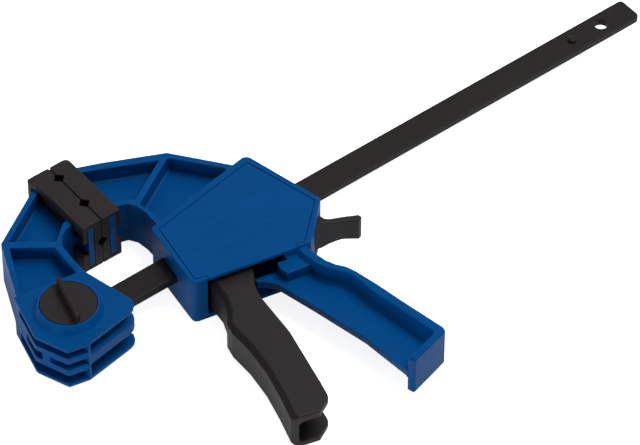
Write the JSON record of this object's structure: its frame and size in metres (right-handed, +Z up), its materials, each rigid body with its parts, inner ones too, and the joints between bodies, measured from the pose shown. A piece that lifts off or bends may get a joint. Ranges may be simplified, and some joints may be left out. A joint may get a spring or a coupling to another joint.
{
  "type": "one-handed bar clamp",
  "caption": "Trigger bar clamp with a fixed jaw locked on one end of a flat steel bar and a sliding jaw with pistol grip, squeeze trigger and release lever, jaws closed.",
  "frame": {"origin": "bottom centre of the bounding box: the surface that the clamp lies on, below the middle", "axes": "+X along the bar, from the fixed jaw towards the bar's free end; +Y from the grip towards the jaw tips; +Z up, square to the clamp's flat side"},
  "size_m": [0.5192, 0.285, 0.052],
  "materials": {
    "blue_shell": "satin",
    "dark_plastic": "satin",
    "dark_rubber": "matte",
    "black_steel": "burnished",
    "plain_steel": "satin"
  },
  "bodies": {
    "frame": {"bar": "black_steel", "stop_pin": "black_steel", "fixed_jaw": "blue_shell", "fixed_pad": "dark_rubber", "knob_ring": "plain_steel"},
    "slider": {"body": "blue_shell", "side_cover": "blue_shell", "moving_pad": "dark_rubber", "trigger_pin": "plain_steel", "lever_pin": "plain_steel", "cover_screw_1": "black_steel", "cover_screw_2": "black_steel", "cover_screw_3": "black_steel", "cover_screw_4": "black_steel", "drive_spring": "plain_steel", "brake_spring": "plain_steel"},
    "trigger": {"trigger": "dark_plastic"},
    "drive_plates": {"drive_plate_1": "plain_steel", "drive_plate_2": "plain_steel"},
    "brake_plate": {"brake_plate": "plain_steel"},
    "release_lever": {"release_lever": "dark_plastic"},
    "lock_knob": {"lock_knob": "dark_plastic"},
    "lock_pin": {"lock_pin": "plain_steel", "lock_spring": "plain_steel"}
  },
  "joints": [
    {"name": "body_slide", "type": "slide", "parent": "frame", "child": "slider", "axis": [1, 0, 0], "range_m": [0, 0.244]},
    {"name": "trigger_pivot", "type": "hinge", "parent": "slider", "child": "trigger", "pos_m": [-0.11434, 0.0487, 0.0215], "axis": [0, 0, 1], "range_deg": [0, 18], "stiffness_Nm_per_rad": 0.4, "springref_deg": -5.73},
    {"name": "drive_slide", "type": "slide", "parent": "slider", "child": "drive_plates", "axis": [1, 0, 0], "range_m": [0, 0.0108], "deforming": ["drive_spring"]},
    {"name": "lever_pivot", "type": "hinge", "parent": "slider", "child": "release_lever", "pos_m": [-0.05634, 0.0035, 0.0215], "axis": [0, 0, -1], "range_deg": [0, 16], "stiffness_Nm_per_rad": 0.15, "springref_deg": -5.73},
    {"name": "brake_tilt", "type": "hinge", "parent": "slider", "child": "brake_plate", "pos_m": [-0.06384, 0.0495, 0.0215], "axis": [0, 0, 1], "range_deg": [0, 6.05], "deforming": ["brake_spring"]},
    {"name": "knob_turn", "type": "hinge", "parent": "frame", "child": "lock_knob", "pos_m": [-0.22834, 0.0325, 0.0215], "axis": [0, 0, 1], "range_deg": [0, 90]},
    {"name": "pin_lift", "type": "slide", "parent": "frame", "child": "lock_pin", "axis": [0, 0, 1], "range_m": [0, 0.00501], "deforming": ["lock_spring"]}
  ],
  "couplings": [
    {"joint": "drive_slide", "follows": "trigger_pivot", "m_per_rad": 0.0342},
    {"joint": "brake_tilt", "follows": "lever_pivot", "ratio": 0.375},
    {"joint": "pin_lift", "follows": "knob_turn", "m_per_rad": 0.0031831}
  ]
}
